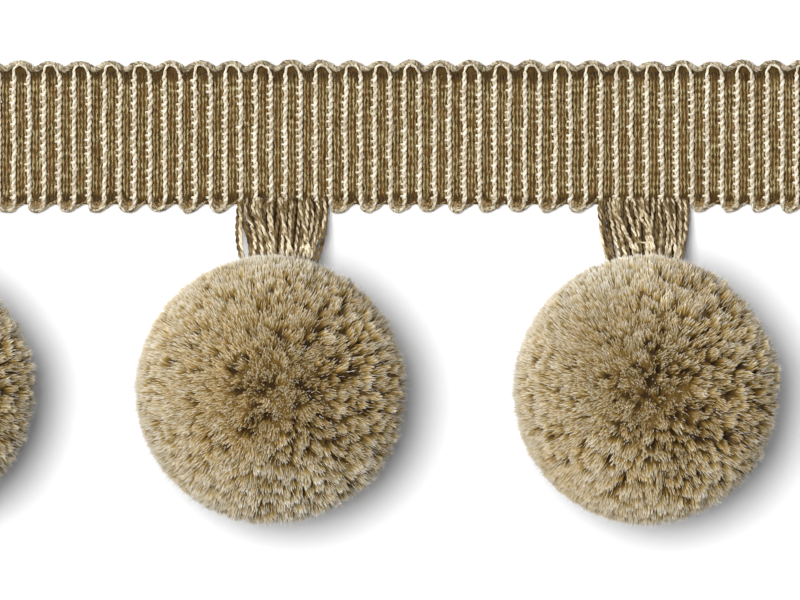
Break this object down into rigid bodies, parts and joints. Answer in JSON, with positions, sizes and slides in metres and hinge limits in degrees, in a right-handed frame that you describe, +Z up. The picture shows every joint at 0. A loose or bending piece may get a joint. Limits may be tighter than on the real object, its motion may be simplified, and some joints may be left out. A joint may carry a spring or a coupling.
{
  "type": "pompom fringe trim",
  "caption": "Cut length of ribbed furnishing braid with looped scalloped edges and round cut-yarn pompoms hanging from short twisted-thread skeins.",
  "frame": {"origin": "on the resting surface, under the middle of the whole trim", "axes": "+X along the heading, +Y in the trim's plane from the pompoms to the heading, +Z up out of the trim's face"},
  "size_m": [0.1214, 0.0519, 0.0296],
  "materials": {
    "heading_weave": "warp-faced rib weave of lustrous twisted thread, old gold and beige, bright line along each rib",
    "hanger_thread": "lustrous two-ply twisted thread, old gold",
    "pompom_yarn": "matt cut yarn, soft brushed pile, beige"
  },
  "bodies": {
    "root": {"heading_band": "heading_weave", "hanger_skein_1": "hanger_thread", "hanger_skein_2": "hanger_thread", "hanger_skein_3": "hanger_thread", "pompom_1": "pompom_yarn", "pompom_2": "pompom_yarn", "pompom_3": "pompom_yarn"}
  },
  "joints": []
}
